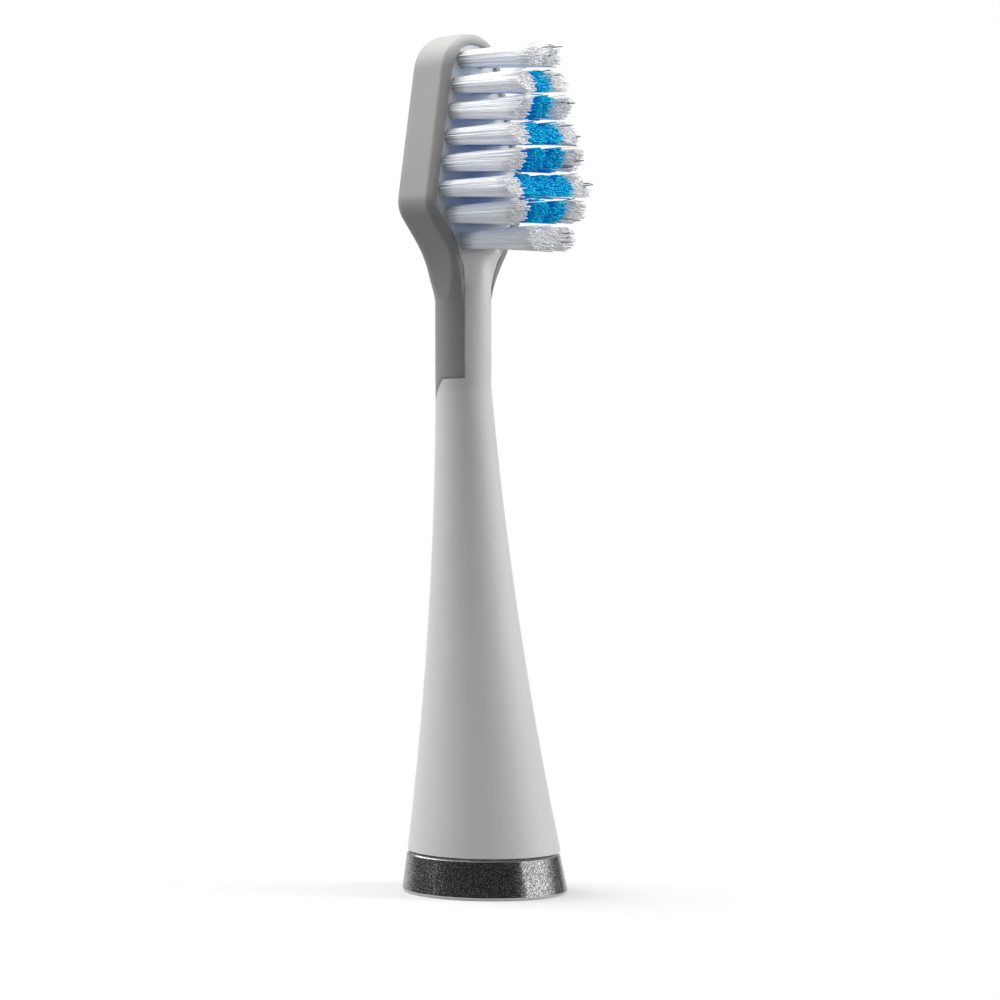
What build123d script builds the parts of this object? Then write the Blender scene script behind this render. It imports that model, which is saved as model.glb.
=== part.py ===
# Push-on brush head for a sonic handle: hollow tapered skirt, slim neck and a shield-shaped head.
# Lengths are millimetres and angles degrees. The head stands on its base ring, which lies in the
# plane Z = 0, and its drive axis starts at the origin and leans back towards +Y.
# Pieces on that axis are drawn upright, bristles towards -Y, and then tilted as one.
# A distance ahead is measured from the upright axis towards the bristles.
from build123d import *
import os
from math import asin, ceil, cos, degrees, hypot, pi, radians, sin, sqrt, tan

# Drive axis and base ring
axis_lean = 4.9
ring_height = 4.1
ring_foot_radius = 8.28
ring_top_radius = 7.6
ring_foot_bevel = 0.3
ring_edge_bevel = 0.18
ring_bore_radius = 5.1
groove_height = 0.17
groove_depth = 0.5
ring_strips = 2
collar_height = 2.2
collar_clearance = 0.05

# Skirt and neck
skirt_radius = 7.66
skirt_wall = 1.05
skirt_flare_power = 1.5
hollow_step_height = 13.5
hollow_height = 18.0
neck_radius = 2.8
neck_bend = 3.4
neck_bend_radius = 12.0
neck_into_head = 0.7

# Head outline, seen from the front; each drop is measured down from the place named before it:
# the top, the corners where the head is widest, the foot of its shoulders, the start of the neck
head_top = 85.3
head_corner_drop = 17.2
shoulder_drop = 11.1
neck_drop = 7.0
head_top_radius = 4.05
head_corner_half_width = 7.1
head_shoulder_angle = 36.0
head_corner_radius = 3.0
shoulder_radius = 10.0
horn_past_corner = 1.2
horn_spread = 6.2
horn_sink = 0.15
horn_strips = 4

# Head section, seen from the side; drops are measured down from the head's corners
head_front = 3.6
head_thickness = 5.55
head_back_rounding = 1.6
head_lip_bevel = 0.5
lip_fade_drop = 3.6
lip_fade_angle = 11.0
face_depth = 0.3
face_drop = 4.1
face_ramp = 3.0

# Soft skin over the back of the head and neck
skin_on_rim = 1.1
skin_thickness = 0.6
white_strip_half_width = 1.75
skin_side_rise = 1.15
skin_tongue_angle = 50.0

# Tufts
tuft_rows = 8
tuft_pitch = 2.57
top_row_drop = 2.6
tuft_margin = 1.05
tuft_widest_gap = 2.9
tuft_hole_radius = 0.86
tuft_hole_depth = 2.4
tuft_clearance = 0.03
tuft_spread = 0.12
tuft_sides = 8
tuft_peak = 11.1
tuft_valley = 9.1
tuft_flat_row = 10.4
anchor_thickness = 0.25
anchor_height = 1.2
anchor_clearance = 0.01
fold_thickness = 0.5

# Drive socket and its spring
shaft_radius = 1.6
shaft_tip_radius = 1.35
shaft_clearance = 0.03
shaft_flat = 0.95
socket_radius = 3.15
socket_length = 14.7
socket_guide = 5.5
socket_grip = 7.5
socket_mouth_bevel = 0.4
socket_flange_radius = 3.7
socket_flange_height = 1.2
socket_clearance = 0.02
spring_thickness = 0.3
spring_width = 2.0
spring_bow = 0.3
spring_clearance = 0.05

# How far a cutting solid reaches past what it cuts, and the least length that tells places apart
over = 5.0
tiny = 0.01

# Heights on the upright axis that follow from those sizes
head_corner_height = head_top - head_corner_drop
shoulder_foot = head_corner_height - shoulder_drop
neck_start = shoulder_foot - neck_drop
lip_fade_end = head_corner_height - lip_fade_drop
face_ramp_end = head_corner_height - face_drop
face_ramp_start = face_ramp_end - face_ramp
skin_side_end = neck_start + skin_side_rise
top_row_height = head_top - top_row_drop


def tilted(shape):
    """A shape drawn on the upright axis, leaned back onto the drive axis."""
    return Rot(-axis_lean, 0, 0) * shape


def above(height):
    """Everything over a level plane, wide and tall enough for the whole brush head."""
    size = 2 * (head_top + over)
    return Pos(0, 0, height) * Box(size, size, size, align=(Align.CENTER, Align.CENTER, Align.MIN))


def skirt_radius_at(height):
    """Outer radius of the skirt, a taper that dies out into the neck."""
    left = max(0.0, (neck_start - height) / (neck_start - ring_height))
    return neck_radius + (skirt_radius - neck_radius) * left**skirt_flare_power


def skirt():
    """Tapered skirt from the standing plane up to the neck, turned from one long arc."""
    middle = neck_start / 2
    foot = (skirt_radius_at(0), 0)
    side = ThreePointArc(foot, (skirt_radius_at(middle), middle), (neck_radius, neck_start))
    rest = Polyline((neck_radius, neck_start), (0, neck_start), (0, 0), foot)
    return revolve(Plane.XZ * make_face([side, rest]), Axis.Z)


def neck_frame():
    """Frame at the upper end of the bend, where the straight neck starts."""
    return Pos(0, -neck_bend_radius, neck_start) * Rot(neck_bend, 0, 0) * Pos(0, neck_bend_radius, 0)


def neck_length():
    """Length of the straight neck, which ends inside the head."""
    return head_corner_height + neck_into_head - neck_start


def stem():
    """Skirt and neck, with the short bend between them that brings the neck forward."""
    bend_axis = Axis((0, -neck_bend_radius, neck_start), (1, 0, 0))
    bend = revolve(Pos(0, 0, neck_start) * Circle(neck_radius), bend_axis, neck_bend)
    return skirt() + bend + neck_frame() * upwards(neck_radius, neck_length())


def horn(inset):
    """Flaring horn about the neck that rounds the head's shoulders into it, and all above it."""
    foot = shoulder_foot - neck_start - neck_bend_radius * sin(radians(neck_bend))
    length = head_corner_height + horn_past_corner - shoulder_foot
    rings = []
    for station in range(horn_strips + 1):
        share = station / horn_strips
        radius = neck_radius - inset - horn_sink + (horn_spread + horn_sink) * share**2
        rings.append(Pos(0, 0, foot + length * share) * Circle(radius))
    return neck_frame() * loft(rings) + above(head_corner_height)


def crown_centre():
    """Height of the centre of the head's round top."""
    return head_top - head_top_radius


def side_taper():
    """Angle at which the head's straight sides narrow from the corners to the round top."""
    rise = crown_centre() - head_corner_height
    reach = hypot(head_corner_half_width, rise)
    return degrees(asin(head_corner_half_width / reach) - asin(head_top_radius / reach))


def half_width(height, inset):
    """Half width of the head's outline at a height, drawn in square to its edge by an inset."""
    taper = radians(side_taper())
    shoulder = radians(head_shoulder_angle)
    rise = height - head_corner_height
    side = head_corner_half_width - rise * tan(taper) - inset / cos(taper)
    lower = head_corner_half_width + rise * tan(shoulder) - inset / cos(shoulder)
    radius = head_top_radius - inset
    if height - crown_centre() > radius * sin(taper):
        return sqrt(max(0.0, radius**2 - (height - crown_centre()) ** 2))
    return min(side, lower)


def head_outline(inset, neck_width, low):
    """Front outline in X and Z of the shield-shaped head on a neck, drawn in by an inset."""
    taper = radians(side_taper())
    shoulder = radians(head_shoulder_angle)
    radius = head_top_radius - inset
    end_x = radius * cos(taper)
    end_z = crown_centre() + radius * sin(taper)
    gain = inset * (1 / cos(shoulder) - 1 / cos(taper)) / (tan(shoulder) + tan(taper))
    corner_z = head_corner_height + gain
    corner_x = head_corner_half_width - gain * tan(taper) - inset / cos(taper)
    neck_z = corner_z - (corner_x - neck_width) / tan(shoulder)
    right = [(neck_width, low), (neck_width, neck_z), (corner_x, corner_z), (end_x, end_z)]
    left = [(-x, z) for x, z in reversed(right)]
    crown = ThreePointArc(right[-1], (0, head_top - inset), left[0])
    outline = make_face([Polyline(*left, *right), crown])
    at_corners = outline.vertices().filter_by(lambda v: abs(v.Y - corner_z) < tiny)
    outline = fillet(at_corners, head_corner_radius - inset)
    at_neck = outline.vertices().filter_by(lambda v: abs(v.Y - neck_z) < tiny)
    return fillet(at_neck, shoulder_radius + inset)


def front_prism(outline, front, back):
    """An outline in X and Z given depth between two distances ahead of the axis."""
    return Plane((0, -back, 0), x_dir=(1, 0, 0), z_dir=(0, -1, 0)) * extrude(outline, front - back)


def side_prism(points):
    """A region of distances ahead and heights, carried across the whole width."""
    region = make_face(Polyline(*points, close=True))
    width = skirt_radius + over
    side = Plane((0, 0, 0), x_dir=(0, -1, 0), z_dir=(-1, 0, 0))
    return side * extrude(region, width, both=True)


def head_block(inset_side, inset_back):
    """Plate of the head on its shoulders, drawn in by insets at its sides and back."""
    outline = head_outline(inset_side, neck_radius - inset_back, shoulder_foot)
    return front_prism(outline, head_front, head_front - head_thickness + inset_back)


def lip_fade():
    """Room in front of the shoulders, where the lip of the rim sinks back into the neck."""
    drop = lip_fade_end - shoulder_foot + over
    fall = drop * tan(radians(lip_fade_angle))
    return side_prism(
        [
            (head_front, lip_fade_end),
            (head_front - fall, lip_fade_end - drop),
            (head_front + over, lip_fade_end - drop),
            (head_front + over, lip_fade_end),
        ]
    )


def head_form():
    """Outer form of the head: rounded back edges, bevelled lip and shoulders rounded into the neck."""
    block = head_block(0, 0)
    low = shoulder_foot + tiny
    back = block.faces().sort_by(Axis.Y)[-1].edges().filter_by(lambda e: e.center().Z > low)
    block = fillet(back, head_back_rounding)
    rim = block.faces().sort_by(Axis.Y)[0].edges().filter_by(lambda e: e.center().Z > low)
    block = chamfer(rim, head_lip_bevel) - lip_fade()
    return block & horn(0)


def outer_form():
    """Outer form of skirt, neck and head together."""
    return stem() + head_form()


def white_front():
    """Front outline of the white moulding that the skin leaves bare: the face and a neck strip."""
    return head_outline(skin_on_rim, white_strip_half_width, skin_side_end - over)


def skin_region():
    """Side region that the skin covers, ending in a step on the neck's sides and a tongue behind."""
    far = skirt_radius + over
    drop = far * tan(radians(skin_tongue_angle))
    return side_prism(
        [
            (far, skin_side_end),
            (0, skin_side_end),
            (-far, skin_side_end - drop),
            (-far, head_top + over),
            (far, head_top + over),
        ]
    )


def skin_core():
    """What the skin is moulded onto: the outer form drawn in, and the bare front left whole."""
    core = neck_frame() * Cylinder(neck_radius - skin_thickness, 2 * neck_length())
    core += head_block(skin_on_rim, skin_thickness) & horn(skin_thickness)
    core += front_prism(white_front(), head_front + over, 0)
    return core


def back_overmould():
    """Soft skin over the back, sides and rim of the head and the sides and back of the neck."""
    return (outer_form() & skin_region()) - skin_core()


def face_pocket():
    """Room in front of the white face, which lies below the rim and ramps up to the neck."""
    face = face_ahead()
    ahead = side_prism(
        [
            (head_front + over, face_ramp_start),
            (head_front, face_ramp_start),
            (face, face_ramp_end),
            (face, head_top + over),
            (head_front + over, head_top + over),
        ]
    )
    return front_prism(white_front(), head_front + over, 0) & ahead


def face_ahead():
    """Distance of the white face ahead of the axis."""
    return head_front - face_depth


def row_height(row):
    """Height of a row of tufts, counted from the top."""
    return top_row_height - row * tuft_pitch


def tuft_places():
    """Row, column, X and height of every tuft, spread evenly between the rims."""
    places = []
    for row in range(tuft_rows):
        height = row_height(row)
        outer = half_width(height, skin_on_rim + tuft_margin)
        gaps = ceil(2 * outer / tuft_widest_gap)
        for column in range(gaps + 1):
            places.append((row, column, outer * (2 * column - gaps) / max(gaps, 1), height))
    return places


def in_hole(across, height, shape):
    """A shape drawn from the floor of a tuft hole outwards, put into the hole at a place."""
    floor = face_ahead() - tuft_hole_depth
    return Plane((across, -floor, height), x_dir=(1, 0, 0), z_dir=(0, -1, 0)) * shape


def upwards(radius, length):
    """A cylinder that starts at the origin and runs up."""
    return Cylinder(radius, length, align=(Align.CENTER, Align.CENTER, Align.MIN))


def bundle_section(radius):
    """Section of a tuft or its hole, with flats at the ends of the anchor plate."""
    return RegularPolygon(radius, tuft_sides, rotation=degrees(pi / tuft_sides))


def tuft_holes():
    """All the blind holes that the tufts are stapled into."""
    hole = extrude(bundle_section(tuft_hole_radius), tuft_hole_depth + face_depth + over)
    return [in_hole(across, height, hole) for _, _, across, height in tuft_places()]


def anchor_plate():
    """Flat plate across a tuft hole that holds the fold of its filaments down."""
    reach = tuft_hole_radius * cos(pi / tuft_sides) - anchor_clearance
    length = 2 * sqrt(reach**2 - (anchor_thickness / 2) ** 2)
    plate = Box(length, anchor_thickness, anchor_height, align=(Align.CENTER, Align.CENTER, Align.MIN))
    return Pos(0, 0, fold_thickness) * plate


def tuft_anchors():
    """The anchor plates of all the tufts."""
    plate = anchor_plate()
    return Part() + [in_hole(across, height, plate) for _, _, across, height in tuft_places()]


def trimmed_bristles():
    """Side region that the trimmed bristles fill: flat end rows and a zigzag between them."""
    face = face_ahead()
    flat = face + tuft_flat_row
    high = row_height(-1)
    low = row_height(tuft_rows)
    points = [(face - tuft_hole_depth, high), (flat, high), (flat, row_height(0.5))]
    for boundary in range(tuft_rows - 1):
        trim = tuft_peak if boundary % 2 else tuft_valley
        points.append((face + trim, row_height(boundary + 0.5)))
    points += [(flat, row_height(tuft_rows - 1.5)), (flat, low), (face - tuft_hole_depth, low)]
    return side_prism(points)


def tuft():
    """Bundle of filaments from its fold in the hole to its untrimmed tips, slotted for the anchor."""
    length = tuft_hole_depth + tuft_peak
    at_face = tuft_hole_radius - tuft_clearance
    flare = tuft_spread / tuft_peak
    fold = bundle_section(at_face - flare * tuft_hole_depth)
    tips = Pos(0, 0, length) * bundle_section(at_face + tuft_spread)
    bundle = loft([fold, tips], ruled=True)
    slot = Box(
        2 * tuft_hole_radius,
        anchor_thickness + 2 * anchor_clearance,
        anchor_height + 2 * anchor_clearance,
        align=(Align.CENTER, Align.CENTER, Align.MIN),
    )
    return bundle - Pos(0, 0, fold_thickness - anchor_clearance) * slot


def socket_mouth():
    """Height of the socket's open end, under the flange that stops it in the hollow."""
    return hollow_height - socket_flange_height


def socket_top():
    """Height of the closed end of the drive socket."""
    return socket_mouth() + socket_length


def grip_start():
    """Height at which the socket's round guide ends and its D-shaped grip starts."""
    return socket_mouth() + socket_guide


def spring_back():
    """Y of the wall that the spring's ends lean on, behind the shaft's flat."""
    return shaft_flat + shaft_clearance + spring_bow + spring_thickness


def drive_socket():
    """Plastic insert for the handle's stepped shaft: a round guide, then a narrower grip with a flat."""
    guide = shaft_radius + shaft_clearance
    tip = shaft_tip_radius + shaft_clearance
    mouth = Pos(0, 0, socket_mouth())
    socket = mouth * upwards(socket_radius, socket_length)
    socket += mouth * upwards(socket_flange_radius, socket_flange_height)
    socket -= mouth * upwards(guide, socket_guide)
    grip = Circle(tip) & Pos(0, shaft_flat + shaft_clearance - over) * Rectangle(2 * over, 2 * over)
    socket -= Pos(0, 0, grip_start()) * extrude(grip, socket_grip)
    slot = Box(
        spring_width + 2 * spring_clearance,
        spring_back(),
        socket_grip,
        align=(Align.CENTER, Align.MIN, Align.MIN),
    )
    socket -= Pos(0, 0, grip_start()) * slot
    lead_in = socket.faces().sort_by(Axis.Z)[0].edges().sort_by(SortBy.LENGTH)[0]
    return chamfer(lead_in, socket_mouth_bevel)


def shaft_spring():
    """Bowed steel leaf that presses on the flat of the shaft."""
    low = grip_start() + spring_clearance
    high = grip_start() + socket_grip - spring_clearance
    middle = (low + high) / 2
    back = spring_back()
    front = back - spring_thickness
    outside = ThreePointArc((back, low), (back - spring_bow, middle), (back, high))
    inside = ThreePointArc((front, high), (front - spring_bow, middle), (front, low))
    ends = [Line((back, high), (front, high)), Line((front, low), (back, low))]
    leaf = extrude(make_face([outside, ends[0], inside, ends[1]]), spring_width / 2, both=True)
    return Plane((0, 0, 0), x_dir=(0, 1, 0), z_dir=(1, 0, 0)) * leaf


def hollow_radius_to(height):
    """Radius of a hollow that leaves the skirt its wall up to a height."""
    return skirt_radius_at(height) - skirt_wall


def collar_top():
    """Height of the collar's upper end inside the skirt."""
    return ring_height + collar_height


def hollow():
    """Hollow of the skirt, open below, in steps that narrow with the skirt above the ring's collar."""
    room = Pos(0, 0, -over) * upwards(hollow_radius_to(collar_top()), over + collar_top() + collar_clearance)
    for top in (hollow_step_height, hollow_height):
        room += upwards(hollow_radius_to(top), top)
    return room


def brush_body(skin):
    """White moulding: head core, neck and hollow skirt, cut level where the ring seats."""
    body = outer_form() - skin - face_pocket()
    body -= tuft_holes()
    body -= hollow()
    body -= upwards(socket_radius + socket_clearance, socket_top())
    return tilted(body) & above(ring_height)


def leaning_disc(low, low_radius, high, high_radius):
    """A level disc between two heights whose centre follows the drive axis."""
    shift = tan(radians(axis_lean))
    bottom = Pos(0, low * shift, low) * Circle(low_radius)
    top = Pos(0, high * shift, high) * Circle(high_radius)
    return loft([bottom, top], ruled=True)


def ring_radius_at(height):
    """Outer radius of the ring, which tapers from its foot to the skirt."""
    return ring_foot_radius + (ring_top_radius - ring_foot_radius) * height / ring_height


def ring_band():
    """Tapered band of the ring up to the groove, in strips, with both its edges bevelled."""
    band = Part()
    for strip in range(ring_strips):
        low = groove_low() * strip / ring_strips
        high = groove_low() * (strip + 1) / ring_strips
        band += leaning_disc(low, ring_radius_at(low), high, ring_radius_at(high))
    band = chamfer(band.edges().sort_by(Axis.Z)[0], ring_foot_bevel)
    return chamfer(band.edges().sort_by(Axis.Z)[-1], ring_edge_bevel)


def groove_low():
    """Height of the lower side of the shadow groove."""
    return ring_height - groove_height


def base_ring():
    """Metallic ring under the skirt with a shadow groove and a collar that plugs into the skirt."""
    waist = ring_top_radius - groove_depth
    ring = ring_band() + leaning_disc(groove_low(), waist, ring_height, waist)
    collar = upwards(hollow_radius_to(collar_top()) - collar_clearance, collar_top() - groove_low())
    bore = Pos(0, 0, -over) * upwards(ring_bore_radius, hollow_height)
    return ring + tilted(Pos(0, 0, groove_low()) * collar) - tilted(bore)


def write(node, shape):
    """Write one piece to its own file."""
    export_step(shape, f"parts/{node}.step")


if __name__ == "__main__":
    os.makedirs("parts", exist_ok=True)
    skin = back_overmould()
    write("back_overmould", tilted(skin))
    write("brush_body", brush_body(skin))
    write("base_ring", base_ring())
    write("drive_socket", tilted(drive_socket()))
    write("shaft_spring", tilted(shaft_spring()))
    write("tuft_anchors", tilted(tuft_anchors()))
    bundle = tuft()
    trim = trimmed_bristles()
    for row, column, across, height in tuft_places():
        trimmed = in_hole(across, height, bundle) & trim
        write(f"tuft_{row + 1}_{column + 1}", tilted(trimmed))
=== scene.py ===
"""Dress the push-on brush head: moulded plastics, soft skin, lacquered ring and nylon filaments."""
import logging
import math
from dataclasses import dataclass, field
from enum import Enum
from typing import Any

import bmesh
import bpy
import numpy as np
from mathutils import Matrix, Vector
from mathutils.bvhtree import BVHTree


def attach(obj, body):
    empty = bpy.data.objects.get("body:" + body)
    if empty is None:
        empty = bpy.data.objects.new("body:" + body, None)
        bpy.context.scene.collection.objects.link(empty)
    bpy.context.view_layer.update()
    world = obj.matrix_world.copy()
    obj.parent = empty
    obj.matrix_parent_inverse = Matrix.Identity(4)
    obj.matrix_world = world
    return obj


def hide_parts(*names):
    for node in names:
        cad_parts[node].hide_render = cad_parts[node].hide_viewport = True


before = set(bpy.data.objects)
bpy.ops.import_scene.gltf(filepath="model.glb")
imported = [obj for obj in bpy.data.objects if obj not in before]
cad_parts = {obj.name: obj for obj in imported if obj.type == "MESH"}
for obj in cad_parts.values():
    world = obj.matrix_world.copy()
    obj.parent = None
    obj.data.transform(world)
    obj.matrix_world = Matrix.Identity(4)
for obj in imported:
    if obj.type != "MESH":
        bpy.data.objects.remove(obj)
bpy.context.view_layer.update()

log = logging.getLogger("brush_head")
MM = 0.001
LEAN = math.radians(4.9)
GLOW_DEPTH = 0.6 * MM
Triple = tuple[float, float, float]
Colour = Triple
EVEN: Triple = (1.0, 1.0, 1.0)
WHITE: Colour = (1.0, 1.0, 1.0)
BLACK: Colour = (0.0, 0.0, 0.0)


class BristleColour(Enum):
    """Filament colours, by the slot that each takes its finish from."""

    WHITE = "white_bristle"
    BLUE = "blue_bristle"


class Nodes:
    """A node tree that is filled a node at a time."""

    # Places of a Mix node's colour sockets, whose names its other kinds share.
    mix_share, mix_one, mix_other, mix_result = 0, 6, 7, 2

    def __init__(self, tree: bpy.types.NodeTree) -> None:
        """Keep the tree and clear it."""
        self.tree = tree
        self.tree.nodes.clear()

    def add(self, kind: str, **inputs: Any) -> bpy.types.Node:
        """Add a node and set or link its inputs.

        Args:
            kind: Blender's name for the node type.
            inputs: Values or sockets by input name, with underscores for blanks.

        Returns:
            The new node.
        """
        node = self.tree.nodes.new(kind)
        for name, value in inputs.items():
            self.feed(node.inputs[name.replace("_", " ")], value)
        return node

    def feed(self, socket: bpy.types.NodeSocket, value: Any) -> None:
        """Link a socket into an input, or set the input to a constant.

        Args:
            socket: The input to feed.
            value: An output socket, a number or a colour of three numbers.
        """
        if isinstance(value, bpy.types.NodeSocket):
            self.tree.links.new(value, socket)
        elif socket.type == "RGBA" and len(value) == 3:
            socket.default_value = (*value, 1.0)
        else:
            socket.default_value = value

    def place(self, scale: Any = EVEN, turn: Triple = (0.0, 0.0, 0.0)) -> bpy.types.NodeSocket:
        """Point on the object, stretched along each axis and turned.

        Args:
            scale: Factors along X, Y and Z, as numbers or a socket.
            turn: Angles about X, Y and Z.

        Returns:
            The socket with the point.
        """
        coords = self.add("ShaderNodeTexCoord").outputs["Object"]
        mapping = self.add("ShaderNodeMapping", Vector=coords, Rotation=turn, Scale=scale)
        return mapping.outputs["Vector"]

    def measure(self, kind: str, one: Any, other: Any = EVEN) -> bpy.types.NodeSocket:
        """Number that one or two vectors give.

        Args:
            kind: Blender's name for the sum, such as DOT_PRODUCT.
            one: First vector.
            other: Second vector, which a sum of one vector leaves out.

        Returns:
            The socket with the number.
        """
        node = self.tree.nodes.new("ShaderNodeVectorMath")
        node.operation = kind
        self.feed(node.inputs[0], one)
        self.feed(node.inputs[1], other)
        return node.outputs["Value"]

    def noise(self, where: bpy.types.NodeSocket, scale: Any, detail: float) -> bpy.types.NodeSocket:
        """Smooth noise value at a point.

        Args:
            where: The point.
            scale: Waves per metre, as a number or a socket.
            detail: Number of finer layers.

        Returns:
            The socket with the noise value.
        """
        return self.add("ShaderNodeTexNoise", Vector=where, Scale=scale, Detail=detail).outputs[0]

    def span(self, value: bpy.types.NodeSocket, low: Any, high: Any, first: Any = 0.0,
             last: Any = 1.0) -> bpy.types.NodeSocket:
        """Carry a value from one range to another, held at the ends.

        Args:
            value: The value.
            low: Result at the first value.
            high: Result at the last value.
            first: Value that gives the low result.
            last: Value that gives the high result.

        Returns:
            The socket with the carried value.
        """
        ends = {"From_Min": first, "From_Max": last, "To_Min": low, "To_Max": high}
        return self.add("ShaderNodeMapRange", Value=value, **ends).outputs[0]

    def blend(self, share: bpy.types.NodeSocket, one: Any, other: Any) -> bpy.types.NodeSocket:
        """Mix two colours by a share that changes over the surface.

        Args:
            share: Share of the second colour.
            one: First colour.
            other: Second colour.

        Returns:
            The socket with the mixed colour.
        """
        node = self.tree.nodes.new("ShaderNodeMix")
        node.data_type = "RGBA"
        self.feed(node.inputs[self.mix_share], share)
        self.feed(node.inputs[self.mix_one], one)
        self.feed(node.inputs[self.mix_other], other)
        return node.outputs[self.mix_result]

    def math(self, kind: str, one: Any, other: Any) -> bpy.types.NodeSocket:
        """Join two values by a sum.

        Args:
            kind: Blender's name for the sum, such as MULTIPLY.
            one: First value or socket.
            other: Second value or socket.

        Returns:
            The socket with the result.
        """
        node = self.tree.nodes.new("ShaderNodeMath")
        node.operation = kind
        self.feed(node.inputs[0], one)
        self.feed(node.inputs[1], other)
        return node.outputs[0]

    def bump(self, height: bpy.types.NodeSocket, depth: float) -> bpy.types.NodeSocket:
        """Normal that is roughened by a height.

        Args:
            height: Height from 0 to 1.
            depth: Depth in metres that a height of 1 stands for.

        Returns:
            The socket with the roughened normal.
        """
        return self.add("ShaderNodeBump", Height=height, Distance=depth).outputs[0]

    def finish(self, **inputs: Any) -> None:
        """Close a material with a principled surface that takes the given inputs."""
        surface = self.add("ShaderNodeBsdfPrincipled", **inputs)
        self.add("ShaderNodeOutputMaterial", Surface=surface.outputs[0])


def new_material(name: str) -> tuple[bpy.types.Material, Nodes]:
    """An empty node material and its tree.

    Args:
        name: Name of the material.

    Returns:
        The material and the tree to fill.
    """
    made = bpy.data.materials.new(name)
    made.use_nodes = True
    return made, Nodes(made.node_tree)


class SharedEffect:
    """A surface effect that several finishes use, kept as one node group."""

    name: str
    inputs: dict[str, float]
    outputs: tuple[str, ...]

    @classmethod
    def wire(cls, nodes: Nodes, taken: bpy.types.Node) -> dict[str, bpy.types.NodeSocket]:
        """Fill the group; each effect has its own way.

        Args:
            nodes: Tree of the group.
            taken: Node with the group's inputs.

        Returns:
            The socket for each output of the group.
        """
        raise NotImplementedError

    @classmethod
    def group(cls) -> bpy.types.NodeTree:
        """The node group, built the first time that it is asked for.

        Returns:
            The node group.
        """
        found = bpy.data.node_groups.get(cls.name)
        if found:
            return found
        tree = bpy.data.node_groups.new(cls.name, "ShaderNodeTree")
        for label, start in cls.inputs.items():
            socket = tree.interface.new_socket(label, in_out="INPUT", socket_type="NodeSocketFloat")
            socket.default_value = start
        for label in cls.outputs:
            tree.interface.new_socket(label, in_out="OUTPUT", socket_type="NodeSocketFloat")
        nodes = Nodes(tree)
        nodes.add("NodeGroupOutput", **cls.wire(nodes, nodes.add("NodeGroupInput")))
        return tree

    @classmethod
    def place(cls, nodes: Nodes, **values: float) -> bpy.types.NodeOutputs:
        """Place the effect in a material.

        Args:
            nodes: Tree of the material.
            values: Value for each input of the effect.

        Returns:
            The outputs of the effect.
        """
        node = nodes.tree.nodes.new("ShaderNodeGroup")
        node.node_tree = cls.group()
        for label, value in values.items():
            nodes.feed(node.inputs[label], value)
        return node.outputs


class MouldGrain(SharedEffect):
    """Fine grain of a moulded surface, slow clouds of tone and a few dust specks."""

    name = "mould_grain"
    inputs = {"Grain": 4000.0, "Clouds": 90.0, "Dust": 420.0}
    outputs = ("Tone", "Height", "Specks")
    cloud_layers = 3.0
    grain_layers = 2.0
    speck_core = 0.02
    speck_rim = 0.055
    speck_from = 0.93
    speck_full = 0.95

    @classmethod
    def wire(cls, nodes: Nodes, taken: bpy.types.Node) -> dict[str, bpy.types.NodeSocket]:
        """Fill the group with clouds, grain and specks."""
        where = nodes.place()
        cells = nodes.add("ShaderNodeTexVoronoi", Vector=where, Scale=taken.outputs["Dust"])
        near = nodes.span(cells.outputs["Distance"], 1.0, 0.0, cls.speck_core, cls.speck_rim)
        chance = nodes.add("ShaderNodeSeparateColor", Color=cells.outputs["Color"])
        some = nodes.span(chance.outputs["Red"], 0.0, 1.0, cls.speck_from, cls.speck_full)
        return {
            "Tone": nodes.noise(where, taken.outputs["Clouds"], cls.cloud_layers),
            "Height": nodes.noise(where, taken.outputs["Grain"], cls.grain_layers),
            "Specks": nodes.math("MULTIPLY", near, some),
        }


class FilamentStreaks(SharedEffect):
    """Streaks along the filaments of a leaning bundle, and how far each point is out of its hole, which
    fades out the painted shade at the root.
    """

    name = "filament_streaks"
    # Face and the length after it give where the painted root shade on the filaments ends.
    inputs = {"Streaks": 4200.0, "Clumps": 700.0, "Face": 0.0, "Root_shade_reach": 1.0 * MM}
    outputs = ("Streak", "Clump", "Open")
    stretch = (1.0, 0.05, 1.0)
    streak_layers = 2.0
    clump_layers = 1.0

    @classmethod
    def wire(cls, nodes: Nodes, taken: bpy.types.Node) -> dict[str, bpy.types.NodeSocket]:
        """Fill the group with fine streaks, broader clumps and the share that is clear of the hole, past
        the painted root shade.
        """
        depth = nodes.measure("DOT_PRODUCT", nodes.place(), (0.0, -math.cos(LEAN), math.sin(LEAN)))
        clear = nodes.math("ADD", taken.outputs["Face"], taken.outputs["Root_shade_reach"])
        along = nodes.place(cls.stretch, (LEAN, 0.0, 0.0))
        return {
            "Streak": nodes.noise(along, taken.outputs["Streaks"], cls.streak_layers),
            "Clump": nodes.noise(along, taken.outputs["Clumps"], cls.clump_layers),
            "Open": nodes.span(depth, 0.0, 1.0, taken.outputs["Face"], clear),
        }


class RolledLines(SharedEffect):
    """Fine lines that rolling leaves along a metal strip."""

    name = "rolled_lines"
    inputs = {"Lines": 9000.0, "Along": 0.05, "Across": 1.0}
    outputs = ("Line",)
    line_layers = 3.0

    @classmethod
    def wire(cls, nodes: Nodes, taken: bpy.types.Node) -> dict[str, bpy.types.NodeSocket]:
        """Fill the group with stretched noise."""
        shares = {"X": taken.outputs["Along"], "Y": 1.0, "Z": taken.outputs["Across"]}
        stretch = nodes.add("ShaderNodeCombineXYZ", **shares)
        where = nodes.place(stretch.outputs[0])
        return {"Line": nodes.noise(where, taken.outputs["Lines"], cls.line_layers)}


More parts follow.
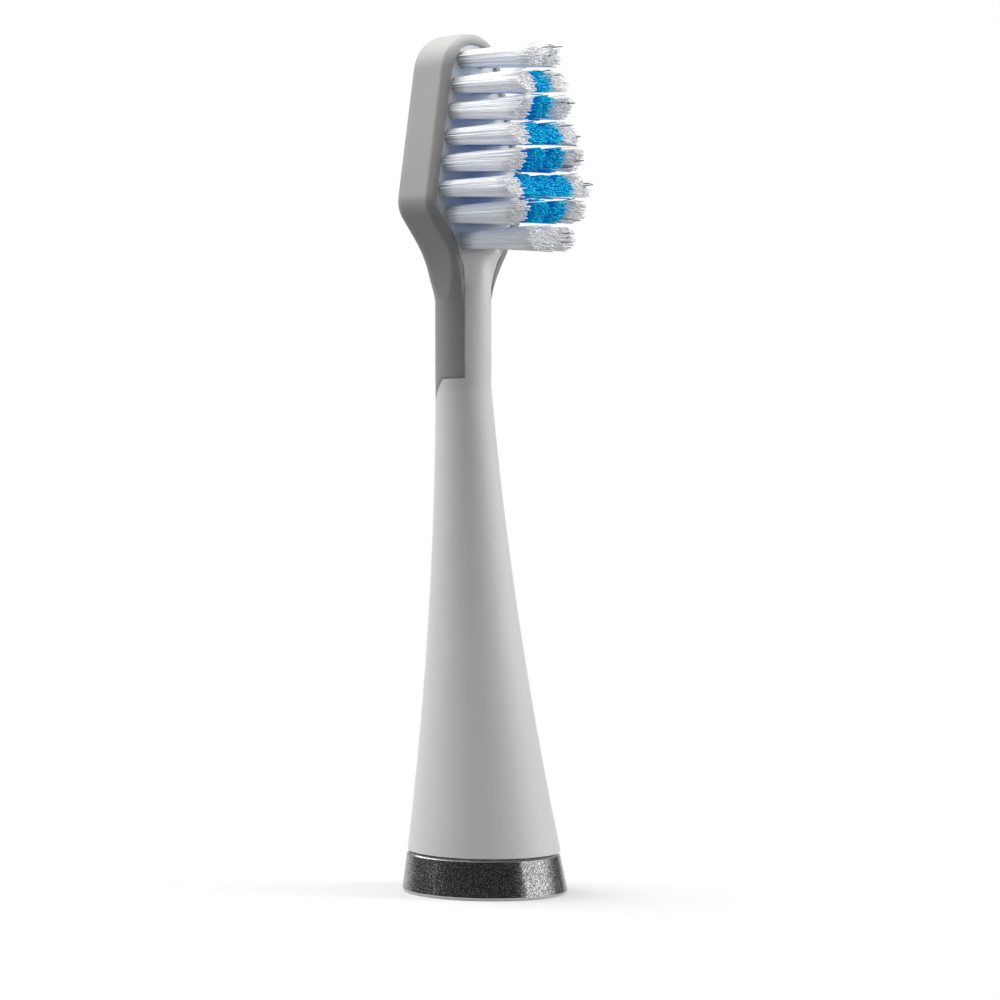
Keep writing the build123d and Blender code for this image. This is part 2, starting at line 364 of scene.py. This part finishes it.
@dataclass(frozen=True)
class MouldedPlastic:
    """A moulded surface, from satin shell plastic to soft rubbery skin."""

    name: str
    light: Colour
    dark: Colour
    speck: Colour
    smooth: float
    rough: float
    grain: float
    grain_depth: float
    clouds: float = 90.0
    dust: float = 420.0
    glow: float = 0.0
    noise_low: float = 0.3
    noise_high: float = 0.7

    def material(self) -> bpy.types.Material:
        """Build the material of this finish."""
        made, nodes = new_material(self.name)
        effect = MouldGrain.place(nodes, Grain=self.grain, Clouds=self.clouds, Dust=self.dust)
        tone = nodes.span(effect["Tone"], 0.0, 1.0, self.noise_low, self.noise_high)
        colour = nodes.blend(tone, self.dark, self.light)
        colour = nodes.blend(effect["Specks"], colour, self.speck)
        matt = nodes.span(effect["Height"], self.smooth, self.rough, self.noise_low, self.noise_high)
        nodes.finish(
            Base_Color=colour,
            Roughness=matt,
            Normal=nodes.bump(effect["Height"], self.grain_depth),
            Subsurface_Weight=self.glow,
            Subsurface_Scale=GLOW_DEPTH,
        )
        return made


@dataclass(frozen=True)
class FlakeLacquer:
    """Dark metallic lacquer with fine bright flakes, cut back to bare metal on both bevels."""

    name: str = "ring_flake_lacquer"
    dark: Colour = (0.105, 0.105, 0.105)
    light: Colour = (0.46, 0.46, 0.455)
    bare: Colour = (0.80, 0.80, 0.79)
    flakes: float = 13000.0
    bright_from: float = 0.45
    smooth: float = 0.13
    rough: float = 0.24
    relief: float = 0.003 * MM
    foot: float = 0.29 * MM
    edge: float = 3.76 * MM
    groove: float = 3.92 * MM
    blur: float = 0.02 * MM

    def material(self) -> bpy.types.Material:
        """Build the material of this finish."""
        made, nodes = new_material(self.name)
        where = nodes.place()
        cells = nodes.add("ShaderNodeTexVoronoi", Vector=where, Scale=self.flakes)
        flake = nodes.add("ShaderNodeSeparateColor", Color=cells.outputs["Color"])
        bright = nodes.span(flake.outputs["Red"], 0.0, 1.0, self.bright_from, 1.0)
        height = nodes.add("ShaderNodeSeparateXYZ", Vector=where).outputs["Z"]
        low = nodes.span(height, 1.0, 0.0, self.foot - self.blur, self.foot)
        high = nodes.span(height, 0.0, 1.0, self.edge - self.blur, self.edge)
        under = nodes.span(height, 1.0, 0.0, self.groove, self.groove + self.blur)
        bevel = nodes.math("MAXIMUM", low, nodes.math("MULTIPLY", high, under))
        lacquer = nodes.blend(bright, self.dark, self.light)
        nodes.finish(
            Base_Color=nodes.blend(bevel, lacquer, self.bare),
            Metallic=1.0,
            Roughness=nodes.span(flake.outputs["Green"], self.smooth, self.rough),
            Normal=nodes.bump(flake.outputs["Blue"], self.relief),
        )
        return made


@dataclass(frozen=True)
class Nylon:
    """Filament nylon with streaks along the bundle, painted shade at its root and a painted glow that
    stands in for the light that it carries along itself.
    """

    name: str
    light: Colour
    dark: Colour
    # Painted shade at the foot of the filaments, where they leave the face.
    root: Colour
    milky: float
    # Strength of a painted glow, in place of the light that the filaments carry.
    painted_glow: float = 0.0
    # Length over which the painted root shade fades out.
    clear: float = 1.9 * MM
    streaks: float = 4200.0
    clumps: float = 700.0
    streak_low: float = 0.32
    streak_high: float = 0.68
    smooth: float = 0.30
    rough: float = 0.48
    sheen: float = 0.25

    def material(self, face: float) -> bpy.types.Material:
        """Build the material of this finish.

        Args:
            face: Where the face that holds the tufts lies along their axis.

        Returns:
            The material.
        """
        made, nodes = new_material(self.name)
        scales = {"Streaks": self.streaks, "Clumps": self.clumps}
        effect = FilamentStreaks.place(nodes, Face=face, Root_shade_reach=self.clear, **scales)
        streak = nodes.span(effect["Streak"], 0.0, 1.0, self.streak_low, self.streak_high)
        colour = nodes.blend(streak, self.dark, self.light)
        # Painted shade: the root colour darkens each filament near the face and fades out along its clear
        # length.
        colour = nodes.blend(effect["Open"], self.root, colour)
        nodes.finish(
            Base_Color=colour,
            Roughness=nodes.span(effect["Clump"], self.smooth, self.rough),
            Subsurface_Weight=self.milky,
            Subsurface_Radius=EVEN,
            Subsurface_Scale=GLOW_DEPTH,
            Specular_IOR_Level=self.sheen,
            # Painted glow: the filaments give off their own colour, in place of light carried through the
            # bundle.
            Emission_Color=colour,
            Emission_Strength=self.painted_glow,
        )
        return made


@dataclass(frozen=True)
class RolledMetal:
    """Thin rolled metal with lines along one axis."""

    name: str
    light: Colour
    dark: Colour
    along: float
    across: float
    lines: float = 9000.0
    smooth: float = 0.22
    rough: float = 0.42
    relief: float = 0.004 * MM

    def material(self) -> bpy.types.Material:
        """Build the material of this finish."""
        made, nodes = new_material(self.name)
        scales = {"Lines": self.lines, "Along": self.along, "Across": self.across}
        line = RolledLines.place(nodes, **scales)["Line"]
        nodes.finish(
            Base_Color=nodes.blend(line, self.dark, self.light),
            Metallic=1.0,
            Roughness=nodes.span(line, self.smooth, self.rough),
            Normal=nodes.bump(line, self.relief),
        )
        return made


@dataclass
class BodyShell:
    """White shell, with the neck blended into the shoulders at the top of its front strip."""

    node: str = "brush_body"
    skin: str = "back_overmould"
    touch: float = 0.1 * MM
    low: float = 54.5 * MM
    high: float = 63.5 * MM
    half_width: float = 3.6 * MM
    pitch: float = 0.25 * MM
    facing: float = -0.15
    border: float = math.radians(50.0)
    weld: float = 0.001 * MM
    same_place: float = 0.0001 * MM
    same_way: float = 0.01
    pull: float = 0.5
    rounds: int = 80
    sharp: float = math.radians(32.0)
    finish: MouldedPlastic = MouldedPlastic(
        "shell_satin_white", light=(0.80, 0.80, 0.795), dark=(0.77, 0.77, 0.765),
        speck=(0.45, 0.44, 0.42), smooth=0.40, rough=0.50, grain=5200.0, grain_depth=0.0006 * MM,
        glow=0.05)

    def grid(self, mesh: bmesh.types.BMesh) -> None:
        """Cut the front of the strip into a fine grid, so that it can bend.

        Args:
            mesh: Mesh of the shell.
        """
        heights = np.arange(self.low, self.high, self.pitch)
        sides = np.arange(-self.half_width, self.half_width, self.pitch)
        cuts = [((0.0, 0.0, height), (0.0, 0.0, 1.0)) for height in heights]
        cuts += [((side, 0.0, 0.0), (1.0, 0.0, 0.0)) for side in sides]
        for place, normal in cuts:
            mesh.normal_update()
            front = [face for face in mesh.faces if face.normal.y < self.facing and self.meets(face)]
            edges = dict.fromkeys(edge for face in front for edge in face.edges)
            points = dict.fromkeys(point for face in front for point in face.verts)
            geom = [*points, *edges, *front]
            bmesh.ops.bisect_plane(mesh, geom=geom, plane_co=place, plane_no=normal)
        bmesh.ops.triangulate(mesh, faces=[face for face in mesh.faces if len(face.verts) > 3])

    def meets(self, face: bmesh.types.BMFace) -> bool:
        """Whether a face reaches into the part of the strip that is blended."""
        heights = [point.co.z for point in face.verts]
        return max(heights) > self.low and min(heights) < self.high

    def blend(self, mesh: bmesh.types.BMesh) -> None:
        """Smooth the front of the strip and hold its borders.

        Args:
            mesh: Mesh of the shell, with the strip cut into a grid.
        """
        mesh.normal_update()
        held = set()
        for edge in mesh.edges:
            if len(edge.link_faces) != 2 or edge.calc_face_angle() > self.border:
                held.update(edge.verts)
        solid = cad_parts[self.skin].data
        corners = [point.co for point in solid.vertices]
        skin = BVHTree.FromPolygons(corners, [tuple(face.vertices) for face in solid.polygons])
        free = [
            point for point in mesh.verts
            if self.low < point.co.z < self.high and point.normal.y < self.facing and point not in held
            and skin.find_nearest(point.co)[3] > self.touch
        ]
        ways = {"use_axis_x": True, "use_axis_y": True, "use_axis_z": True}
        for _ in range(self.rounds):
            bmesh.ops.smooth_vert(mesh, verts=free, factor=self.pull, **ways)
        log.info("body_shell: %d points blended", len(free))

    def corners(self, mesh: bpy.types.Mesh) -> list[tuple[tuple[int, ...], tuple[int, ...]]]:
        """A key for each corner of a mesh, from its place and the way its face looks.

        Args:
            mesh: The mesh.

        Returns:
            The keys, in the order of the corners.
        """
        keys = []
        for face in mesh.polygons:
            way = tuple(round(part / self.same_way) for part in face.normal)
            for corner in face.loop_indices:
                spot = mesh.vertices[mesh.loops[corner].vertex_index].co
                keys.append((tuple(round(part / self.same_place) for part in spot), way))
        return keys

    def keep_normals(self, mesh: bpy.types.Mesh) -> None:
        """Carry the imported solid's normals over to the corners that the blend left alone.

        Args:
            mesh: Mesh of the shell.
        """
        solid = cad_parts[self.node].data
        pairs = zip(self.corners(solid), solid.corner_normals)
        known = {key: normal.vector.copy() for key, normal in pairs}
        own = [known.get(key, Vector()) for key in self.corners(mesh)]
        mesh.normals_split_custom_set(own)
        kept = sum(1 for normal in own if any(normal))
        log.info("body_shell: %d of %d corners keep their normal", kept, len(own))

    def build(self) -> bpy.types.Object:
        """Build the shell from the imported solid.

        Returns:
            The object, riding on the body in place of the solid.
        """
        work = bmesh.new()
        work.from_mesh(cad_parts[self.node].data)
        bmesh.ops.remove_doubles(work, verts=work.verts, dist=self.weld)
        self.grid(work)
        self.blend(work)
        mesh = bpy.data.meshes.new("body_shell")
        work.to_mesh(mesh)
        work.free()
        mesh.shade_smooth()
        mesh.set_sharp_from_angle(angle=self.sharp)
        self.keep_normals(mesh)
        made = bpy.data.objects.new("body_shell", mesh)
        bpy.context.scene.collection.objects.link(made)
        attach(made, "root")
        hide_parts(self.node)
        return made

    def dress(self, made: bpy.types.Object) -> None:
        """Give the shell its finish."""
        made.data.materials.clear()
        made.data.materials.append(self.finish.material())


@dataclass
class SoftSkin:
    """Soft skin over the head's back, sides and rim, with the rolled edges of moulded rubber."""

    node: str = "back_overmould"
    grain: float = 0.14 * MM
    pull: float = 0.5
    rounds: int = 6
    finish: MouldedPlastic = MouldedPlastic(
        "skin_soft_grey", light=(0.365, 0.363, 0.355), dark=(0.335, 0.333, 0.326),
        speck=(0.18, 0.176, 0.17), smooth=0.46, rough=0.60, grain=6500.0, grain_depth=0.003 * MM)

    def build(self) -> bpy.types.Object:
        """Build the skin as an even mesh of the solid with its edges softened.

        Returns:
            The object, riding on the body in place of the solid.
        """
        scene = bpy.context.scene.collection
        rough = bpy.data.objects.new("skin_rough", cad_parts[self.node].data.copy())
        scene.objects.link(rough)
        even = rough.modifiers.new("even", "REMESH")
        even.mode = "VOXEL"
        even.voxel_size = self.grain
        soften = rough.modifiers.new("soften", "SMOOTH")
        soften.factor = self.pull
        soften.iterations = self.rounds
        ready = rough.evaluated_get(bpy.context.evaluated_depsgraph_get())
        mesh = bpy.data.meshes.new_from_object(ready)
        mesh.name = "soft_skin"
        old = rough.data
        bpy.data.objects.remove(rough)
        bpy.data.meshes.remove(old)
        mesh.shade_smooth()
        made = bpy.data.objects.new("soft_skin", mesh)
        scene.objects.link(made)
        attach(made, "root")
        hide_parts(self.node)
        return made

    def dress(self, made: bpy.types.Object) -> None:
        """Give the skin its finish."""
        made.data.materials.clear()
        made.data.materials.append(self.finish.material())


@dataclass
class Tuft:
    """One bundle of filaments, stapled into its hole and trimmed to a slanting plane."""

    node: str
    colour: BristleColour
    axis: Vector
    frayed: bool
    count: int = 110
    thickness: float = 0.118 * MM
    bundle: float = 0.80 * MM
    rooted: float = 1.3 * MM
    hole: float = 2.4 * MM
    fan: float = 0.45
    wander: float = 0.07 * MM
    ragged: float = 0.09 * MM
    droop: float = 0.32 * MM
    strays: int = 3
    stray_reach: float = 0.9 * MM
    sides: int = 5
    rings: int = 7
    slack: float = 0.01 * MM
    decimals: int = 7
    golden: float = 3.0 - math.sqrt(5.0)
    tips_from: float = 0.8
    turn_chance: float = 0.08
    fan_chance: float = 0.2
    stray_loose: float = 4.5
    curl: float = 0.6
    bend: float = 1.25
    foot: np.ndarray = field(init=False)
    tip: np.ndarray = field(init=False)
    slope: np.ndarray = field(init=False)
    along: np.ndarray = field(init=False)
    across: np.ndarray = field(init=False)
    upward: np.ndarray = field(init=False)

    def measure(self) -> None:
        """Read where the bundle starts, and the plane of its tips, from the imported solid."""
        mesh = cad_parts[self.node].data
        points = np.array([v.co[:] for v in mesh.vertices])
        along = np.array(self.axis)
        depth = points @ along
        root = np.unique(np.round(points[depth < depth.min() + self.slack], self.decimals), axis=0)
        outer = depth.min() + self.tips_from * (depth.max() - depth.min())
        tips = np.unique(np.round(points[depth > outer], self.decimals), axis=0)
        self.foot = root.mean(axis=0)
        self.tip = tips.mean(axis=0)
        self.slope = np.linalg.svd(tips - self.tip)[2][2]
        self.across = np.array((1.0, 0.0, 0.0))
        self.upward = np.cross(along, self.across)
        self.along = along

    def trimmed(self, start: np.ndarray) -> float:
        """Length of a filament that runs along the axis from a point to the plane of the tips.

        Args:
            start: Where the filament leaves the face.

        Returns:
            The length in metres.
        """
        return float((self.tip - start) @ self.slope / (self.along @ self.slope))

    def filament(self, rng: np.random.Generator, index: int, stray: bool) -> np.ndarray:
        """Centre line of one filament.

        Args:
            rng: Source of chance, the same on every run.
            index: Number of the filament in its bundle.
            stray: Whether it stands away from the bundle.

        Returns:
            Points from the hole to the tip, one row each.
        """
        spread = math.sqrt((index + 0.5) / self.count)
        turn = index * math.pi * self.golden + rng.normal(0.0, self.turn_chance)
        out = self.across * math.cos(turn) + self.upward * math.sin(turn)
        face = self.foot + self.along * self.hole + out * self.bundle * spread
        length = self.trimmed(face) + rng.normal(0.0, self.ragged)
        if stray and self.frayed:
            length += abs(rng.normal(0.0, self.stray_reach))
        drift = out * self.bundle * spread * self.fan * (1.0 + rng.normal(0.0, self.fan_chance))
        loose = self.stray_loose if stray else 1.0
        drift = drift + (self.across * rng.normal() + self.upward * rng.normal()) * self.wander * loose
        drift = drift - self.upward * self.droop
        curl = (self.across * rng.normal() + self.upward * rng.normal()) * self.wander * self.curl
        line = []
        for share in np.linspace(0.0, 1.0, self.rings):
            run = -self.rooted + (length + self.rooted) * share
            free = max(0.0, run) / length
            bent = drift * free**self.bend + curl * math.sin(math.pi * free)
            line.append(face + self.along * run + bent)
        return np.array(line)

    def build(self, seed: int) -> bpy.types.Object:
        """Build the bundle as one mesh.

        Args:
            seed: Start of this bundle's own chance.

        Returns:
            The object, riding on the body in place of the solid.
        """
        self.measure()
        rng = np.random.default_rng(seed)
        points: list[tuple[float, float, float]] = []
        faces: list[tuple[int, ...]] = []
        painted_shade_slots: list[int] = []
        circle = [2.0 * math.pi * k / self.sides for k in range(self.sides)]
        odd = set(rng.choice(self.count, self.strays, replace=False).tolist())
        for index in range(self.count):
            start = len(points)
            line = self.filament(rng, index, index in odd)
            for centre in line:
                for angle in circle:
                    rim = self.across * math.cos(angle) + self.upward * math.sin(angle)
                    points.append(tuple(centre + rim * self.thickness / 2.0))
            for ring in range(self.rings - 1):
                for k in range(self.sides):
                    low = start + ring * self.sides
                    side = (k + 1) % self.sides
                    faces.append((low + k, low + side, low + self.sides + side, low + self.sides + k))
                    # Painted shade: the last ring of each stray on a frayed tuft takes the second slot.
                    painted_shade_slots.append(1 if self.frayed and index in odd and ring == self.rings - 2 else 0)
            end = start + (self.rings - 1) * self.sides
            faces.append(tuple(end + k for k in range(self.sides)))
            faces.append(tuple(start + k for k in reversed(range(self.sides))))
            painted_shade_slots += [0, 0]
        mesh = bpy.data.meshes.new(f"filaments_{self.node}")
        mesh.from_pydata(points, [], faces)
        mesh.polygons.foreach_set("material_index", painted_shade_slots)
        mesh.polygons.foreach_set("use_smooth", [len(face) == 4 for face in faces])
        made = bpy.data.objects.new(f"filaments_{self.node}", mesh)
        bpy.context.scene.collection.objects.link(made)
        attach(made, "root")
        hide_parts(self.node)
        return made

    def dress(self, made: bpy.types.Object, nylon: bpy.types.Material, ends: bpy.types.Material) -> None:
        """Give the filaments their nylon, and the strays' free ends a painted shade."""
        made.data.materials.append(nylon)
        made.data.materials.append(ends)


@dataclass
class TuftField:
    """All the tufts: white at the ends and along both edges, blue inside."""

    # Each root colour is painted shade at the foot of the tufts.
    white: Nylon = Nylon(
        "white_nylon", light=(0.92, 0.935, 0.95), dark=(0.88, 0.90, 0.93),
        root=(0.48, 0.52, 0.54), milky=1.0, painted_glow=0.062)
    blue: Nylon = Nylon(
        "blue_nylon", light=(0.0, 0.45, 0.95), dark=(0.0, 0.36, 0.90),
        root=(0.0, 0.22, 0.42), milky=1.0, painted_glow=0.045)
    # Painted shade for the free ends of the strays on frayed tufts.
    ends: Nylon = Nylon(
        "filament_ends_painted_shade", light=(0.40, 0.41, 0.43), dark=(0.20, 0.20, 0.22),
        root=(0.20, 0.20, 0.22), milky=0.0)
    first_seed: int = 7

    def places(self) -> list[tuple[int, int]]:
        """Row and column of every tuft, counted from 1, in order."""
        names = [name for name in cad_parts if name.startswith("tuft_") and name != "tuft_anchors"]
        return sorted((int(name.split("_")[1]), int(name.split("_")[2])) for name in names)

    def colour(self, row: int, column: int) -> BristleColour:
        """Colour of a tuft.

        Args:
            row: Row from the top.
            column: Column from the near edge.

        Returns:
            Blue for the inner tufts of the inner rows, and white for all others.
        """
        places = self.places()
        last_row = max(place[0] for place in places)
        last_column = max(place[1] for place in places if place[0] == row)
        inner = 1 < row < last_row and 1 < column < last_column
        return BristleColour.BLUE if inner else BristleColour.WHITE

    def build(self) -> None:
        """Build and dress every tuft."""
        axis = Vector((0.0, -math.cos(LEAN), math.sin(LEAN)))
        places = self.places()
        first = Tuft("tuft_%d_%d" % places[0], BristleColour.WHITE, axis, False)
        first.measure()
        face = float(first.foot @ first.along) + first.hole
        nylons = {
            BristleColour.WHITE: self.white.material(face),
            BristleColour.BLUE: self.blue.material(face),
        }
        ends = self.ends.material(face)
        for number, (row, column) in enumerate(places):
            far = (row, column + 1) not in places
            tuft = Tuft(f"tuft_{row}_{column}", self.colour(row, column), axis, far)
            made = tuft.build(number + self.first_seed)
            tuft.dress(made, nylons[tuft.colour], ends)
            log.info("%s: %s, %d faces", made.name, tuft.colour.value, len(made.data.polygons))


@dataclass
class Mouldings:
    """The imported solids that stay: ring, drive socket, spring and anchors."""

    socket: MouldedPlastic = MouldedPlastic(
        "socket_dull_white", light=(0.66, 0.655, 0.63), dark=(0.60, 0.595, 0.57),
        speck=(0.30, 0.29, 0.27), smooth=0.42, rough=0.58, grain=5200.0, grain_depth=0.003 * MM)
    ring: FlakeLacquer = FlakeLacquer()
    spring: RolledMetal = RolledMetal(
        "spring_steel", light=(0.62, 0.62, 0.63), dark=(0.45, 0.45, 0.47), along=1.0, across=0.05)
    anchors: RolledMetal = RolledMetal(
        "anchor_brass", light=(0.80, 0.60, 0.27), dark=(0.62, 0.44, 0.17), along=0.05, across=1.0)

    def dress(self) -> None:
        """Give each solid its finish; its rounds are smooth as packed."""
        finishes = {
            "base_ring": self.ring,
            "drive_socket": self.socket,
            "shaft_spring": self.spring,
            "tuft_anchors": self.anchors,
        }
        for name, finish in finishes.items():
            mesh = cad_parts[name].data
            mesh.materials.clear()
            mesh.materials.append(finish.material())
            log.info("%s: %s", name, finish.name)


@dataclass(frozen=True)
class Lamp:
    """One soft lamp, placed by how far it is across the picture, towards the camera and up."""

    name: str
    across: float
    towards: float
    rise: float
    size: tuple[float, float]
    power: float

    def hang(self, across: Vector, towards: Vector, aim: Vector) -> None:
        """Hang the lamp.

        Args:
            across: Level direction across the picture.
            towards: Level direction towards the camera.
            aim: Where the lamp points.
        """
        up = Vector((0.0, 0.0, 1.0))
        place = self.across * across + self.towards * towards + self.rise * up
        data = bpy.data.lights.new(self.name, "AREA")
        data.shape = "RECTANGLE"
        data.size, data.size_y = self.size
        data.energy = self.power
        made = bpy.data.objects.new(self.name, data)
        made.location = place
        made.rotation_euler = (aim - place).to_track_quat("-Z", "Y").to_euler()
        bpy.context.scene.collection.objects.link(made)


@dataclass
class Studio:
    """White table, soft lamps on both sides and a long lens at the photograph's angle."""

    azimuth: float = math.radians(-43.488)
    distance: float = 623.632 * MM
    height: float = 80.704 * MM
    aim_across: float = 0.867 * MM
    aim_height: float = 39.085 * MM
    roll: float = math.radians(0.904)
    lens: float = 226.466
    sensor: float = 36.0
    clip: float = 10.0 * MM
    table: float = 6.0
    near: float = 10.0 * MM
    far: float = 40.0 * MM
    glow_near: float = 0.20
    matt_near: Colour = (0.5, 0.5, 0.5)
    matt_dim: Colour = (0.15, 0.15, 0.15)
    room: float = 0.10
    backdrop_from: float = 0.92
    backdrop_full: float = 0.995
    bounces: int = 16
    lit_height: float = 45.0 * MM
    lamps: tuple[Lamp, ...] = (
        Lamp("left_lamp", across=-0.50, towards=-0.14, rise=0.48, size=(0.90, 0.70), power=5.0),
        Lamp("right_lamp", across=0.44, towards=-0.03, rise=0.13, size=(0.60, 0.11), power=0.60),
        Lamp("high_lamp", across=0.20, towards=-0.02, rise=0.20, size=(0.10, 0.10), power=0.31),
        Lamp("top_lamp", across=-0.05, towards=-0.15, rise=0.60, size=(0.50, 0.50), power=1.8),
        Lamp("key_lamp", across=-0.02, towards=0.01, rise=0.24, size=(0.14, 0.14), power=0.30),
    )

    def axes(self) -> tuple[Vector, Vector]:
        """Level directions across the picture and towards the camera."""
        across = Vector((math.cos(self.azimuth), math.sin(self.azimuth), 0.0))
        towards = Vector((math.sin(self.azimuth), -math.cos(self.azimuth), 0.0))
        return across, towards

    def camera(self) -> None:
        """Set up the camera."""
        across, towards = self.axes()
        eye = towards * self.distance + Vector((0.0, 0.0, self.height))
        aim = across * self.aim_across + Vector((0.0, 0.0, self.aim_height))
        back = (eye - aim).normalized()
        side = Vector((0.0, 0.0, 1.0)).cross(back).normalized()
        up = back.cross(side)
        right = side * math.cos(self.roll) + up * math.sin(self.roll)
        top = up * math.cos(self.roll) - side * math.sin(self.roll)
        data = bpy.data.cameras.new("camera")
        data.lens = self.lens
        data.sensor_width = self.sensor
        data.clip_start = self.clip
        made = bpy.data.objects.new("camera", data)
        turn = Matrix((right, top, back)).transposed().to_4x4()
        made.matrix_world = Matrix.Translation(eye) @ turn
        bpy.context.scene.collection.objects.link(made)
        bpy.context.scene.camera = made

    def seen(self, nodes: Nodes, shown: Any) -> bpy.types.NodeSocket:
        """Share of rays that see the bright backdrop: from the camera, off gloss and through glass.

        Args:
            nodes: Tree to add to.
            shown: Share of the backdrop that gloss and glass see.

        Returns:
            The socket with the share.
        """
        path = nodes.add("ShaderNodeLightPath")
        either = nodes.math("MAXIMUM", path.outputs["Is Glossy Ray"], path.outputs["Is Transmission Ray"])
        return nodes.math("MAXIMUM", path.outputs["Is Camera Ray"], nodes.math("MULTIPLY", either, shown))

    def world(self) -> None:
        """White backdrop behind the object, and a dimmer room on the other side to light by."""
        made = bpy.data.worlds.new("room")
        made.use_nodes = True
        nodes = Nodes(made.node_tree)
        towards = self.axes()[1]
        coords = nodes.add("ShaderNodeTexCoord")
        facing = nodes.measure("DOT_PRODUCT", coords.outputs["Generated"], tuple(-towards))
        backdrop = nodes.span(facing, 0.0, 1.0, self.backdrop_from, self.backdrop_full)
        strength = nodes.span(self.seen(nodes, backdrop), self.room, 1.0)
        light = nodes.add("ShaderNodeBackground", Color=WHITE, Strength=strength)
        nodes.add("ShaderNodeOutputWorld", Surface=light.outputs[0])
        bpy.context.scene.world = made

    def floor(self) -> None:
        """White table that glows to white away from the object and keeps its shadow near it."""
        half = self.table / 2.0
        corners = [(-half, -half, 0.0), (half, -half, 0.0), (half, half, 0.0), (-half, half, 0.0)]
        mesh = bpy.data.meshes.new("table")
        mesh.from_pydata(corners, [], [(0, 1, 2, 3)])
        made = bpy.data.objects.new("table", mesh)
        bpy.context.scene.collection.objects.link(made)
        paint, nodes = new_material("table_white")
        away = nodes.span(nodes.measure("LENGTH", nodes.place()), 0.0, 1.0, self.near, self.far)
        matt = nodes.add("ShaderNodeBsdfDiffuse", Color=self.matt_dim)
        strength = nodes.span(away, self.glow_near, 1.0)
        glow = nodes.add("ShaderNodeEmission", Color=WHITE, Strength=strength)
        half_matt = nodes.add("ShaderNodeBsdfDiffuse", Color=nodes.blend(away, self.matt_near, BLACK))
        shown = nodes.add("ShaderNodeAddShader")
        nodes.feed(shown.inputs[0], glow.outputs[0])
        nodes.feed(shown.inputs[1], half_matt.outputs[0])
        mix = nodes.add("ShaderNodeMixShader", Fac=self.seen(nodes, 1.0))
        nodes.feed(mix.inputs[1], matt.outputs[0])
        nodes.feed(mix.inputs[2], shown.outputs[0])
        nodes.add("ShaderNodeOutputMaterial", Surface=mix.outputs[0])
        mesh.materials.append(paint)

    def build(self) -> None:
        """Set up table, room, lamps and camera."""
        self.floor()
        self.world()
        across, towards = self.axes()
        for lamp in self.lamps:
            lamp.hang(across, towards, Vector((0.0, 0.0, self.lit_height)))
        self.camera()
        bpy.context.scene.view_settings.view_transform = "Standard"
        bpy.context.scene.cycles.diffuse_bounces = self.bounces
        bpy.context.scene.cycles.max_bounces = self.bounces


def main() -> None:
    """Build the scene in order."""
    logging.basicConfig(level=logging.INFO, format="%(name)s %(message)s")
    Studio().build()
    Mouldings().dress()
    for moulding in (BodyShell(), SoftSkin()):
        made = moulding.build()
        moulding.dress(made)
        log.info("%s: %s, %d faces", made.name, moulding.finish.name, len(made.data.polygons))
    TuftField().build()


if __name__ == "__main__":
    main()
